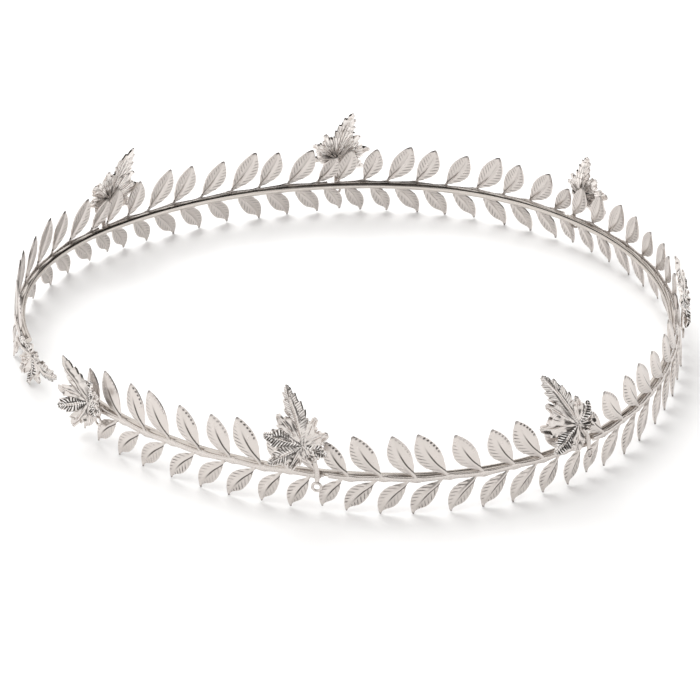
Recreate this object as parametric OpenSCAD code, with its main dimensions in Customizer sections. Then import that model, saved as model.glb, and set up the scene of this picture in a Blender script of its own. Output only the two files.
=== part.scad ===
// Laurel wreath crown: a round metal rod bent into an open hoop, stamped laurel sprays that run
// end to end along its outside, and a lobed vine leaf over each end of every spray.
// +Z is up, +X is the brow and -X the open back of the hoop. The origin lies on the surface that
// the tips of the lower leaves rest on, in the middle of the head opening.
// Band coordinates are used along the hoop: along runs round the hoop the way the leaves point,
// up is the height over the hoop's middle, and out is the distance outward from the hoop's middle.

/* [Hoop] */
// Diameter of the round rod
rod_d = 1.9; // [1.5:0.1:2.6]
// Mean radius of the hoop, which each of its bends is a share of
hoop_r = 88; // [80:1:98]
// Length of bare rod past the last spray at the far arm's end
rod_end = 2.2; // [2:0.1:6]

/* [Laurel sprays] */
// Gap between the rod and the sprays on it, and between neighbouring sprays
seat_gap = 0.2; // [0.15:0.05:0.35]
// Depth of a spray's stem, outward from the rod
stem_t = 0.9; // [0.7:0.05:1.3]
// Height of the stem between two leaf pairs
stem_w = 1.15; // [0.9:0.05:1.5]
// Height of the stem where a leaf pair leaves it
node_w = 1.8; // [1.5:0.05:2.2]
// Thickness of the stamped leaves
leaf_t = 0.5; // [0.4:0.05:0.7]
// Height of a common upper leaf over the stem
upper_rise = 12; // [9:0.5:15]
// Width of a common upper leaf
upper_w = 6; // [4.8:0.1:6.4]
// Drop of a common lower leaf under the stem
lower_drop = 9.5; // [8.5:0.25:12]
// Width of a common lower leaf
lower_w = 4.9; // [4:0.1:5.4]
// Height of a leaf's raised midrib over its edges
leaf_fold = 0.75; // [0.4:0.05:1.1]

/* [Vine leaves] */
// Length of the middle lobe from where the lobes meet
lobe_len = 14.5; // [12:0.5:17]
// Length of the stalk from the stem to where the lobes meet
stalk_len = 8.5; // [7:0.25:9.5]
// Width of the stalk
stalk_w = 1.7; // [1.4:0.1:2.2]
// Thickness of the vine leaf's metal
vine_t = 0.6; // [0.5:0.05:0.8]
// Outward cup of the side lobes at their tips
vine_cup = 4; // [2:0.25:5]
// Outside diameter of the eyelet at the foot of the stalk
eyelet_d = 3; // [2.6:0.1:3.6]
// Diameter of the hole in the eyelet
eyelet_hole_d = 1.5; // [1:0.1:1.8]

/* [Hidden] */
// Bends of each arm, from the brow to its end: share of hoop_r, sweep in degrees
VIEWER_ARM = [[1.211, 32.3], [0.804, 59], [1.132, 52.3]];
FAR_ARM = [[0.928, 87.9], [1.258, 45], [0.737, 65.2]];
// Sleeve over the rod where two bends meet, more than the rod's diameter
sleeve = 0.06;
// Middle of the rod at the brow, in shares of hoop_r
BROW = [1.004, 0.05] * hoop_r;

// Leaf pairs of one spray, from its foot to its tip. Columns: place along the spray as a share of
// its length; for the upper leaf its reach along the stem as a share of upper_rise, its rise as a
// share of upper_rise, its width as a share of upper_w and its extra outward lean in degrees;
// then the same for the lower leaf, in shares of lower_drop and lower_w
AT = 0;
UPPER = 1;
LOWER = 5;
REACH = 0;
RISE = 1;
WIDE = 2;
LEAN = 3;
PAIRS = [
    [0.000, 0.375, 0.92, 0.84, 1,  0.52, 0.97, 0.92, 2],
    [0.102, 0.370, 0.93, 0.90, 1,  0.54, 0.97, 0.94, 0],
    [0.194, 0.640, 1.03, 1.03, 0,  0.77, 1.00, 1.00, 1],
    [0.309, 0.530, 0.97, 1.00, 2,  0.74, 0.99, 1.02, 0],
    [0.428, 0.620, 0.94, 0.97, 0,  0.73, 0.97, 0.98, 2],
    [0.554, 0.670, 1.03, 1.05, 2,  0.77, 1.00, 1.03, 0],
    [0.671, 0.520, 0.98, 0.98, 0,  0.75, 0.99, 1.02, 1],
    [0.785, 0.670, 0.96, 1.02, 1,  0.79, 0.95, 0.98, 0],
    [0.906, 0.530, 0.76, 0.80, -2, 0.53, 0.88, 0.86, -1]
];
// How far the leaf pairs of each spray are spread along it, as a share
SPREAD = [1.02, 0.98, 1, 1, 1, 1.01, 1.01];
// How far along the stem a lower leaf leaves it past its upper leaf, as a share of the spray
LOWER_LAG = 0.026;
// Outline and section of a laurel leaf from foot to tip: share of its length, of half its width
// and of its fold
LEAF_ROWS = [[0, 0.2, 0], [0.15, 0.3, 0.3], [0.36, 0.93, 0.9], [0.68, 0.9, 0.9], [1, 0.06, 0]];
// Bow of a leaf's midrib towards the stem, as a share of its length
LEAF_BOW = 0.07;
// Lean of the whole spray, from upright: inward over the stem and outward under it
UPPER_IN = 6;
LOWER_OUT = 5;

// Lobes of a vine leaf, each side of its middle lobe. Columns: angle from the leaf's axis, length
// to the tip as a share of lobe_len, half width at the shoulder as a share of lobe_len, outward
// cup of the tip as a share of vine_cup
LOBES = [
    [-142, 0.42, 0.10, 0.55], [-108, 0.60, 0.12, 1.00], [-63, 0.66, 0.13, 1.00], [-28, 0.68, 0.08, 0.60],
    [0, 1.15, 0.165, 0.35],
    [28, 0.74, 0.08, 0.60], [63, 0.66, 0.13, 1.00], [108, 0.54, 0.12, 1.00], [142, 0.42, 0.10, 0.55]
];
MIDDLE_LOBE = 4;
// Bend of the middle lobe off the leaf's axis, towards the way the laurel leaves point
MIDDLE_BEND = 8;
// Shoulders and rib of a lobe as shares of its length, and the cup there as a share of the tip's
SHOULDER = 0.68;
RIB = 0.55;
SHOULDER_CUP = 0.45;
// Depth of the notches between lobes as a share of lobe_len, one more than there are lobes
NOTCHES = [0.14, 0.26, 0.36, 0.42, 0.47, 0.47, 0.42, 0.34, 0.26, 0.14];
// How far past its outer lobes a vine leaf's edge turns in to the stalk, in degrees
HEEL = 24;
// Vine leaves from the viewer arm's end to the far arm's end. Columns: angle of the middle lobe
// from the way the laurel leaves point, outward turn of the side that points that way, outward
// lean from the heart to the tip, size and cup of the middle lobe, of the fore lobes on that side
// and of the aft lobes as shares, angle by which both sides fan out, then the angle, the outward
// lean and the length of the stalk as a share of stalk_len
TURN = 0;
FACING = 1;
TIP_OUT = 2;
MIDDLE = 3;
FORE = 5;
AFT = 7;
FAN = 9;
STALK_TURN = 10;
STALK_OUT = 11;
STALK = 12;
VINES = [
    [50, 14, -3, 0.82, 0.5, 0.90, 0.6, 0.66, 0.4, 18, 37, 22, 0.40],
    [72, 0, -14, 0.98, 1.0, 1.04, 0.6, 0.78, 0.2, 3, 70, 6, 1.15],
    [60, -10, -15, 1.02, 1.0, 1.08, 0.2, 0.66, -0.3, 0, 60, 6, 1.08],
    [76, 0, -12, 0.96, 0.2, 1.00, 0.1, 0.80, 0.2, 0, 74, 2, 1.02],
    [76, 0, -12, 0.84, 1.0, 0.93, 0.4, 0.62, 0.3, 8, 76, 6, 0.86],
    [73, 0, -14, 0.95, 1.0, 1.00, 0.5, 0.80, 0.3, 4, 89, 6, 0.88],
    [67, 0, -15, 0.98, 0.8, 1.00, 0.0, 0.92, -0.1, 0, 70, 3, 0.98],
    [180, 0, -5, 0.88, 0.9, 0.74, 0.6, 0.76, 0.6, 0, 196, -14, 0.92]
];
// How far an eyelet stands out past the foot of its stalk, clear of the laurel leaf behind it
EYELET_OUT = 0.6;
// Distance of the first vine leaf from the viewer arm's end
END_VINE = 6;

SPRAYS = 7;

function bend_len(bend) = bend[0] * hoop_r * bend[1] * PI / 180;
function arm_len(arm) = sum([for (bend = arm) bend_len(bend)]);
function sum(v, i = 0) = i == len(v) ? 0 : v[i] + sum(v, i + 1);
far_len = arm_len(FAR_ARM);
viewer_len = arm_len(VIEWER_ARM);
spray_len = (far_len + viewer_len - rod_end) / SPRAYS;

// A place along an arm, d from p: [middle of the rod, heading]. side is 1 for bends to the left
function on_bend(p, heading, side, r, d) =
    let (turn = side * d / r * 180 / PI, left = [-sin(heading), cos(heading)])
    let (end = heading + turn, left_end = [-sin(end), cos(end)])
    [p + side * r * (left - left_end), end];
function on_arm(arm, p, heading, side, d, i = 0) =
    let (l = bend_len(arm[i]))
    d <= l || i == len(arm) - 1 ? on_bend(p, heading, side, arm[i][0] * hoop_r, d)
    : let (q = on_bend(p, heading, side, arm[i][0] * hoop_r, l))
    on_arm(arm, q[0], q[1], side, d - l, i + 1);
// Place on the hoop at distance s from the brow, positive along the far arm:
// [middle of the rod, direction outward as an angle]
function on_hoop(s) = s >= 0
    ? let (q = on_arm(FAR_ARM, BROW, 90, 1, s)) [q[0], q[1] - 90]
    : let (q = on_arm(VIEWER_ARM, BROW, -90, -1, -s)) [q[0], q[1] + 90];

// Distance from the brow of the foot of spray i, counted from the viewer arm's end
function foot_s(i) = (i + 1) * spray_len - viewer_len;
// The same for the stalk of vine leaf i, over the foot of the spray before it
function vine_s(i) = foot_s(i - 1) + (i == 0 ? END_VINE : 0);
// Middle of a spray's stem and of a vine leaf's stalk, outward from the rod's middle
stem_out = rod_d / 2 + seat_gap + stem_t / 2;
stalk_out = stem_out + stem_t / 2 + seat_gap + vine_t / 2;

// A point of the band at height 0, from its distance along a spray that starts at s
function in_plan(s, along, out) =
    let (q = on_hoop(s - along))
    q[0] + out * [cos(q[1]), sin(q[1])];
// The same as a point in space: p is [along, up, out]
function in_space(s, p) = [each in_plan(s, p[0], p[2]), hoop_h + p[1]];
// Outward shift of the leaning band at a height
function band_lean(up) = up > 0 ? -up * tan(UPPER_IN) : -up * tan(LOWER_OUT);

// Foot and tip of one leaf of a pair, as [along, up], with its own width and lean
function leaf_foot(pair, upper) = [(pair[AT] + (upper ? 0 : LOWER_LAG)) * spray_len, 0];
function leaf_size(upper) = upper ? upper_rise : -lower_drop;
function leaf_way(pair, upper) =
    let (col = upper ? UPPER : LOWER)
    [pair[col + REACH] * abs(leaf_size(upper)), pair[col + RISE] * leaf_size(upper)];
function leaf_w(pair, upper) = (upper ? upper_w : lower_w) * pair[(upper ? UPPER : LOWER) + WIDE];
// Points round a leaf at one row of LEAF_ROWS: an edge, the midrib outside, the other edge and
// the midrib inside
function leaf_section(pair, upper, row) =
    let (foot = leaf_foot(pair, upper), way = leaf_way(pair, upper), l = norm(way))
    let (across = [-way[1], way[0]] / l * (upper ? 1 : -1))
    let (bow = LEAF_BOW * l * 4 * row[0] * (1 - row[0]), rib = foot + way * row[0] - across * bow)
    let (half = leaf_w(pair, upper) / 2 * row[1] * across)
    let (lean = tan(pair[(upper ? UPPER : LOWER) + LEAN]))
    [for (q = [[1, 0], [0, 1], [-1, 0], [0, -1]])
        let (p = rib + q[0] * half, lift = abs(q[1]) * leaf_fold * row[2] + q[1] * leaf_t / 2)
        [p[0], p[1], stem_out + band_lean(p[1]) + abs(p[1]) * lean + lift]];
function leaf_points(pair, upper) = [for (row = LEAF_ROWS) each leaf_section(pair, upper, row)];

// The hoop's height puts the lowest leaf tip on the surface
hoop_h = -min([for (pair = PAIRS) for (p = leaf_points(pair, false)) p[1]]);

// Triangles of a closed skin over rings of n points each
function skin_faces(rings, n) = concat(
    [for (i = [1:n - 2]) [0, i, i + 1]],
    [for (r = [0:rings - 2]) for (i = [0:n - 1])
        let (a = r * n + i, b = r * n + (i + 1) % n)
        each [[a, a + n, b], [b, a + n, b + n]]],
    [for (i = [1:n - 2]) let (a = (rings - 1) * n) [a, a + i + 1, a + i]]);

module laurel_leaf(s, pair, upper) {
    faces = skin_faces(len(LEAF_ROWS), 4);
    polyhedron([for (p = leaf_points(pair, upper)) in_space(s, p)],
        upper ? [for (f = faces) [f[0], f[2], f[1]]] : faces);
}

// A short disc that faces outward on the band
module pad(s, p, d, t, sides) {
    q = on_hoop(s - p[0]);
    translate(in_space(s, p)) rotate([0, 90, q[1]])
        cylinder(h = t, d = d, center = true, $fn = sides);
}

module hoop() {
    color("silver") {
        hoop_arm(FAR_ARM, 90, 1);
        hoop_arm(VIEWER_ARM, -90, -1);
    }
}

module hoop_arm(arm, heading, side) {
    starts = [0, for (i = [1:len(arm)]) sum([for (j = [0:i - 1]) bend_len(arm[j])])];
    for (i = [0:len(arm) - 1]) {
        r = arm[i][0] * hoop_r;
        q = on_arm(arm, BROW, heading, side, starts[i]);
        middle = q[0] + side * r * [-sin(q[1]), cos(q[1])];
        turned = side > 0 ? q[1] - 90 : q[1] + 90 - arm[i][1];
        translate([middle[0], middle[1], hoop_h]) rotate([0, 0, turned])
            rotate_extrude(angle = arm[i][1]) translate([r, 0]) circle(d = rod_d, $fn = 48);
        // A close sleeve, too thin to see, joins each bend to the one before it
        translate([q[0][0], q[0][1], hoop_h]) rotate([0, 90, q[1]])
            cylinder(h = rod_d / 2, d = rod_d + sleeve, center = true, $fn = 48);
    }
}

module laurel_spray(i) {
    s = foot_s(i);
    pairs = [for (pair = PAIRS) [pair[AT] * SPREAD[i], for (k = [UPPER:len(pair) - 1]) pair[k]]];
    feet = [-0.3 * stem_w, for (pair = pairs) pair[AT] * spray_len, spray_len - 2 * stem_w - seat_gap];
    color("gainsboro") union() {
        // The stem swells towards each leaf pair and starts thin again past it
        for (k = [0:len(feet) - 2]) {
            zigzag = (k % 2 - 0.5) * stem_w / 4;
            wide = k == len(feet) - 2 ? stem_w : node_w;
            hull() {
                pad(s, [feet[k], -zigzag, stem_out], stem_w, stem_t * 0.8, 6);
                pad(s, [feet[k + 1], zigzag, stem_out], wide, stem_t, 6);
            }
        }
        for (pair = pairs) {
            laurel_leaf(s, pair, true);
            laurel_leaf(s, pair, false);
        }
    }
}

// Where the lobes of vine leaf i meet, as [along, up]
function vine_heart(i) =
    VINES[i][STALK] * stalk_len * [cos(VINES[i][STALK_TURN]), sin(VINES[i][STALK_TURN])];
function heart_out(i) = stalk_out + norm(vine_heart(i)) * tan(VINES[i][STALK_OUT]);
// A point of vine leaf i in band coordinates, r from its heart at angle a from its axis, which a
// side lobe's point adds its bend and fan to
function vine_point(i, a, r, cup, middle = false) =
    let (turn = VINES[i][TURN] + a + (middle ? 0 : MIDDLE_BEND + sign(a) * VINES[i][FAN]))
    let (heart = vine_heart(i), p = heart + r * [cos(turn), sin(turn)])
    let (tip_out = r * cos(a) * tan(VINES[i][TIP_OUT]), turned = (p[0] - heart[0]) * sin(VINES[i][FACING]))
    [p[0], p[1], heart_out(i) + tip_out + turned + cup];
// Which column holds the size of lobe k, with its cup in the next one
function lobe_column(k) = k == MIDDLE_LOBE ? MIDDLE : k < MIDDLE_LOBE ? FORE : AFT;
// The notch before lobe k, at the angle between the lobes
function notch_point(i, k) =
    let (first = k == 0, last = k == len(LOBES))
    let (a = first ? LOBES[0][0] - HEEL : last ? LOBES[k - 1][0] + HEEL : (LOBES[k][0] + LOBES[k - 1][0]) / 2)
    vine_point(i, a, NOTCHES[k] * VINES[i][k > MIDDLE_LOBE ? AFT : FORE] * lobe_len, 0);
// Points of one lobe: the notch before it, shoulder, tip, shoulder, and the middle of its rib
function lobe_points(i, k) =
    let (lobe = LOBES[k], a = lobe[0], column = lobe_column(k), middle = k == MIDDLE_LOBE)
    let (size = VINES[i][column] * lobe_len, tip = lobe[1] * size)
    let (cup = lobe[3] * VINES[i][column + 1] * vine_cup, side = [lobe[1] * SHOULDER, lobe[2]] * size)
    let (wide = atan2(side[1], side[0]))
    [
        notch_point(i, k),
        vine_point(i, a - wide, norm(side), cup * SHOULDER_CUP, middle),
        vine_point(i, a, tip, cup, middle),
        vine_point(i, a + wide, norm(side), cup * SHOULDER_CUP, middle),
        vine_point(i, a, tip * RIB, cup * SHOULDER_CUP + vine_t, middle)
    ];

module vine_blade(i) {
    s = vine_s(i);
    lobes = len(LOBES);
    flat = concat(
        [vine_point(i, 0, 0, 0)],
        [for (k = [0:lobes - 1]) each lobe_points(i, k)],
        [notch_point(i, lobes)]);
    n = len(flat);
    end = n - 1;
    // Triangles of one side: six on each lobe and one to close the leaf at its foot
    top = concat([for (k = [0:lobes - 1])
        let (notch = 1 + 5 * k, rib = notch + 4, next = k == lobes - 1 ? end : notch + 5)
        each [[0, notch, rib], [notch, notch + 1, rib], [notch + 1, notch + 2, rib],
            [notch + 2, notch + 3, rib], [notch + 3, next, rib], [next, 0, rib]]],
        [[0, end, 1]]);
    edge = [for (k = [0:lobes - 1]) each [for (j = [0:3]) 1 + 5 * k + j], end];
    m = len(edge);
    walls = [for (j = [0:m - 1])
        let (a = edge[j], b = edge[(j + 1) % m])
        each [[a, a + n, b], [b, a + n, b + n]]];
    half = [0, 0, vine_t / 2];
    skins = [for (p = flat) p + half, for (p = flat) p - half];
    polyhedron([for (p = skins) in_space(s, p)],
        concat(top, [for (f = top) [f[0] + n, f[2] + n, f[1] + n]], walls));
}

module vine_leaf(i) {
    s = vine_s(i);
    heart = vine_heart(i);
    steps = 4;
    eyelet = [0, -(node_w + eyelet_d) / 2 - seat_gap, EYELET_OUT];
    foot = [0, 0, stalk_out];
    lean = heart_out(i) - stalk_out;
    color("lightgray") difference() {
        union() {
            vine_blade(i);
            hull() {
                pad(s, foot + eyelet, eyelet_d, vine_t, 10);
                pad(s, foot + 0.8 * eyelet, stalk_w, vine_t, 6);
            }
            hull() {
                pad(s, foot + 0.8 * eyelet, stalk_w, vine_t, 6);
                pad(s, foot, stalk_w, vine_t, 6);
            }
            for (k = [0:steps - 1]) {
                hull() {
                    stalk_pad(s, heart, k / steps, lean);
                    stalk_pad(s, heart, (k + 1) / steps, lean);
                }
            }
        }
        pad(s, foot + eyelet, eyelet_hole_d, 3 * vine_t, 10);
    }
}

// A disc of the stalk at a share of the way from the stem to the heart of the leaf
module stalk_pad(s, heart, t, lean) {
    pad(s, [heart[0] * t * t, heart[1] * t, stalk_out + lean * t * t * t], stalk_w, vine_t, 6);
}

hoop();
for (i = [0:SPRAYS - 1]) {
    laurel_spray(i);
}
for (i = [0:SPRAYS]) {
    vine_leaf(i);
}
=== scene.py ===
"""Looks of the laurel wreath crown: stamped leaves, a polished rod and a pale studio round its frame."""

from collections import namedtuple

import bpy
import numpy as np
from bpy.props import FloatProperty, FloatVectorProperty, IntProperty, PointerProperty
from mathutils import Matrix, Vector


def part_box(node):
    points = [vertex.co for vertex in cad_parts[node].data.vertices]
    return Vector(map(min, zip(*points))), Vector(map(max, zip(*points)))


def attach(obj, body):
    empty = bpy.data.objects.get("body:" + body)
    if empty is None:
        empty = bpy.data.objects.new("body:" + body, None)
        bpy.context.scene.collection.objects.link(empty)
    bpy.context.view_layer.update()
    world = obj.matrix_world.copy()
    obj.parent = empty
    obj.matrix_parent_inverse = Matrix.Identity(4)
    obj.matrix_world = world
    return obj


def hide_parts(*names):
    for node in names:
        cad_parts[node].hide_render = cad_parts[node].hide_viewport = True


bl_info = {
    "name": "Laurel Wreath Crown",
    "version": (1, 0, 0),
    "blender": (4, 5, 0),
    "location": "3D View > Sidebar > Crown",
    "description": "Detailed leaves, rod and studio for a laurel wreath crown",
    "category": "Object",
}

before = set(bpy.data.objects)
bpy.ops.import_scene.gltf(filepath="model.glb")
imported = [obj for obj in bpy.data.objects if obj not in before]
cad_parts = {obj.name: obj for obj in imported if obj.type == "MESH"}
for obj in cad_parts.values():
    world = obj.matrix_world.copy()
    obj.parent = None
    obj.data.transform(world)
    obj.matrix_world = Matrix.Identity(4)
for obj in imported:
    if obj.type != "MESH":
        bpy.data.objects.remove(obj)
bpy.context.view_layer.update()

# Sizes in millimetres, those of the solids but for the thickness of the leaves' blades
MM = 0.001
ROD_D = 1.9
HOOP_R = 88.0
ROD_END = 2.2
SEAT_GAP = 0.2
STEM_T = 0.9
STEM_W = 1.15
NODE_W = 1.8
LEAF_T = 0.42
UPPER_RISE = 12.0
UPPER_W = 6.0
LOWER_DROP = 9.5
LOWER_W = 4.9
LOBE_LEN = 14.5
STALK_LEN = 8.5
VINE_T = 0.6
VINE_BLADE_T = VINE_T * 0.75
VINE_CUP = 4.0
EYELET_D = 3.0
EYELET_HOLE_D = 1.5
EYELET_OUT = 0.6
# Bow of a leaf's midrib, as a share of its length
LEAF_BOW = 0.07
# How far past its upper leaf a lower leaf leaves the stem, as a share of the spray
LOWER_LAG = 0.026
# Lean of the laurel leaves from upright in degrees, inward over the stem and outward under it
UPPER_IN = 6.0
LOWER_OUT = 5.0
# How far past its outer lobes a vine leaf's edge turns in to the stalk, in degrees
HEEL = 24.0
# Bend of the middle lobe off the leaf's axis, in degrees
MIDDLE_BEND = 8.0
# Distance of the first vine leaf from the viewer arm's end
END_VINE = 6.0
SPRAYS = 7
# Seed of the first spray's leaf tones
SEED = 40
# Places that follow from the frame and the sizes
HOOP_H = (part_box("hoop")[0].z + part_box("hoop")[1].z) / 2 / MM
STEM_OUT = ROD_D / 2 + SEAT_GAP + STEM_T / 2
STALK_OUT = STEM_OUT + STEM_T / 2 + SEAT_GAP + VINE_T / 2
BROW = (1.004 * HOOP_R, 0.05 * HOOP_R)

# Fineness of the meshes: steps along the rod and the stem in millimetres, sides of the bars
ROD_STEP = 1.2
ROD_SIDES = 28
STEM_STEP = 0.6
STEM_SIDES = 20
STALK_SIDES = 10
PETIOLE_SIDES = 8
# How far the rod's ends are rounded, and the shares of its diameter there, from the end inwards
ROD_ROUND = 0.12
ROD_END_SHARES = (0.72, 0.93)
# Flatness of the stem's faces, under 1 for a boxy section
STEM_BOXY = 0.65
# Edges that bend by more than this many degrees stay sharp
SHARP = 55.0
# Places of the materials of a laurel spray or a vine leaf
OUTSIDE, INSIDE, STEM = 0, 1, 2

# Bends of each arm, from the brow to its end: radius as a share of the hoop's, sweep in degrees
Bend = namedtuple("Bend", "share sweep")
VIEWER_ARM = [Bend(1.211, 32.3), Bend(0.804, 59.0), Bend(1.132, 52.3)]
FAR_ARM = [Bend(0.928, 87.9), Bend(1.258, 45.0), Bend(0.737, 65.2)]

# Leaf pairs of one spray: place as a share of its length, then both leaves. A leaf's reach, rise and
# width are shares of the common leaf's, and its further outward lean is in degrees
Leaf = namedtuple("Leaf", "reach rise wide lean")
Pair = namedtuple("Pair", "at upper lower")
PAIRS = [
    Pair(0.000, Leaf(0.375, 0.92, 0.84, 1), Leaf(0.52, 0.97, 0.92, 2)),
    Pair(0.102, Leaf(0.370, 0.93, 0.90, 1), Leaf(0.54, 0.97, 0.94, 0)),
    Pair(0.194, Leaf(0.640, 1.03, 1.03, 0), Leaf(0.77, 1.00, 1.00, 1)),
    Pair(0.309, Leaf(0.530, 0.97, 1.00, 2), Leaf(0.74, 0.99, 1.02, 0)),
    Pair(0.428, Leaf(0.620, 0.94, 0.97, 0), Leaf(0.73, 0.97, 0.98, 2)),
    Pair(0.554, Leaf(0.670, 1.03, 1.05, 2), Leaf(0.77, 1.00, 1.03, 0)),
    Pair(0.671, Leaf(0.520, 0.98, 0.98, 0), Leaf(0.75, 0.99, 1.02, 1)),
    Pair(0.785, Leaf(0.670, 0.96, 1.02, 1), Leaf(0.79, 0.95, 0.98, 0)),
    Pair(0.906, Leaf(0.530, 0.76, 0.80, -2), Leaf(0.53, 0.88, 0.86, -1)),
]
# How far the leaf pairs of each spray are spread along it, as a share
SPREAD = [1.02, 0.98, 1.0, 1.0, 1.0, 1.01, 1.01]

# Lobes of a vine leaf: angle from its axis in degrees, length and half width as shares of the lobe
# length, cup as a share of the vine leaf's
Lobe = namedtuple("Lobe", "angle length half cup")
LOBES = [
    Lobe(-142, 0.42, 0.10, 0.55),
    Lobe(-108, 0.60, 0.12, 1.00),
    Lobe(-63, 0.66, 0.13, 1.00),
    Lobe(-28, 0.68, 0.08, 0.60),
    Lobe(0, 1.15, 0.165, 0.35),
    Lobe(28, 0.74, 0.08, 0.60),
    Lobe(63, 0.66, 0.13, 1.00),
    Lobe(108, 0.54, 0.12, 1.00),
    Lobe(142, 0.42, 0.10, 0.55),
]
MIDDLE_LOBE = len(LOBES) // 2
# Depth of the notches between the lobes as a share of the lobe length, one more than there are lobes
NOTCHES = [0.14, 0.26, 0.36, 0.42, 0.47, 0.47, 0.42, 0.34, 0.26, 0.14]

# Vine leaves from the viewer arm's end to the far arm's end: angles in degrees, and sizes, cups and
# the stalk's length as shares
Side = namedtuple("Side", "size cup")
Stalk = namedtuple("Stalk", "turn out length")
Vine = namedtuple("Vine", "turn facing tip_out middle fore aft fan stalk")
VINES = [
    Vine(50, 14, -3, Side(0.82, 0.5), Side(0.90, 0.6), Side(0.66, 0.4), 18, Stalk(37, 22, 0.40)),
    Vine(72, 0, -14, Side(0.98, 1.0), Side(1.04, 0.6), Side(0.78, 0.2), 3, Stalk(70, 6, 1.15)),
    Vine(60, -10, -15, Side(1.02, 1.0), Side(1.08, 0.2), Side(0.66, -0.3), 0, Stalk(60, 6, 1.08)),
    Vine(76, 0, -12, Side(0.96, 0.2), Side(1.00, 0.1), Side(0.80, 0.2), 0, Stalk(74, 2, 1.02)),
    Vine(76, 0, -12, Side(0.84, 1.0), Side(0.93, 0.4), Side(0.62, 0.3), 8, Stalk(76, 6, 0.86)),
    Vine(73, 0, -14, Side(0.95, 1.0), Side(1.00, 0.5), Side(0.80, 0.3), 4, Stalk(89, 6, 0.88)),
    Vine(67, 0, -15, Side(0.98, 0.8), Side(1.00, 0.0), Side(0.92, -0.1), 0, Stalk(70, 3, 0.98)),
    Vine(180, 0, -5, Side(0.88, 0.9), Side(0.74, 0.6), Side(0.76, 0.6), 0, Stalk(196, -14, 0.92)),
]

# Studio, in metres
FLOOR_REACH = 1.5
CARD_SPAN = (-0.045, 0.03, 0.05, 0.2)
CARD_UP = 0.06
AIM_Y = -0.017
# Focal length and width of the photo, in its pixels
PHOTO_FOCAL = 3885
PHOTO_WIDTH = 700
# Ways towards the dark zones of the surround, overhead on the brow's side and round the camera, and
# how far a direction has to point that way where a zone begins and where it is full
OVERHEAD_WAY = (0.62, 0.2, 0.76)
OVERHEAD_EDGE = (0.74, 0.83)
VIEWER_WAY = (0.0, -0.82, 0.57)
VIEWER_EDGE = (0.87, 0.95)
VIEWER_DEPTH = 0.92
# A light's power is in watts
Lamp = namedtuple("Lamp", "name power wide deep place")
# Colours of the surround, and of the painted glints on the vine leaves
PALE = (1.0, 0.985, 0.97, 1.0)
DARK = (0.05, 0.045, 0.042, 1.0)
GLINT = (0.94, 0.93, 0.92, 1.0)


# The hoop's path
def arm_len(bends):
    """Length of an arm along the rod"""
    return sum(b.share * HOOP_R * np.radians(b.sweep) for b in bends)


FAR_LEN = arm_len(FAR_ARM)
VIEWER_LEN = arm_len(VIEWER_ARM)
SPRAY_LEN = (FAR_LEN + VIEWER_LEN - ROD_END) / SPRAYS


def on_arm(bends, heading, side, d):
    """Middle of the rod and heading at distances d from the brow along one arm"""
    start, heading = np.array(BROW), np.radians(heading)
    place, way = np.zeros(d.shape + (2,)), np.zeros(d.shape)
    done = 0.0
    for bend in bends:
        r = bend.share * HOOP_R

        def at(length):
            end = heading + side * length / r
            left = np.array([-np.sin(heading), np.cos(heading)])
            left_end = np.stack([-np.sin(end), np.cos(end)], -1)
            return start + side * r * (left - left_end), end

        spot, turned = at(d - done)
        past = d >= done
        place[past], way[past] = spot[past], turned[past]
        length = r * np.radians(bend.sweep)
        start, heading = at(np.array(length))
        done += length
    return place, way


def on_hoop(s):
    """Middle of the rod and the way outward at distances s from the brow, positive along the far arm"""
    s = np.asarray(s, float)
    far, far_way = on_arm(FAR_ARM, 90, 1, np.maximum(s, 0))
    near, near_way = on_arm(VIEWER_ARM, -90, -1, np.maximum(-s, 0))
    middle = np.where((s >= 0)[..., None], far, near)
    return middle, np.where(s >= 0, far_way - np.pi / 2, near_way + np.pi / 2)


def in_space(start, band):
    """Points in metres from band coordinates (along, up, out) of a piece whose foot lies at start"""
    band = np.asarray(band, float)
    middle, outward = on_hoop(start - band[..., 0])
    x = middle[..., 0] + band[..., 2] * np.cos(outward)
    y = middle[..., 1] + band[..., 2] * np.sin(outward)
    return np.stack([x, y, HOOP_H + band[..., 1]], -1) * MM


def foot_s(i):
    """Distance from the brow to the foot of spray i"""
    return (i + 1) * SPRAY_LEN - VIEWER_LEN


def vine_s(i):
    """Distance from the brow to the foot of vine leaf i"""
    return foot_s(i - 1) + (END_VINE if i == 0 else 0)


def smooth(x, low, high):
    """0 below low, 1 over high and an easy rise between them"""
    t = np.clip((x - low) / (high - low), 0, 1)
    return t * t * (3 - 2 * t)


def rib_bump(distance, wide):
    """A rounded ridge that is 1 at its middle and fades over the width"""
    return np.exp(-((distance / wide) ** 2))


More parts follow.
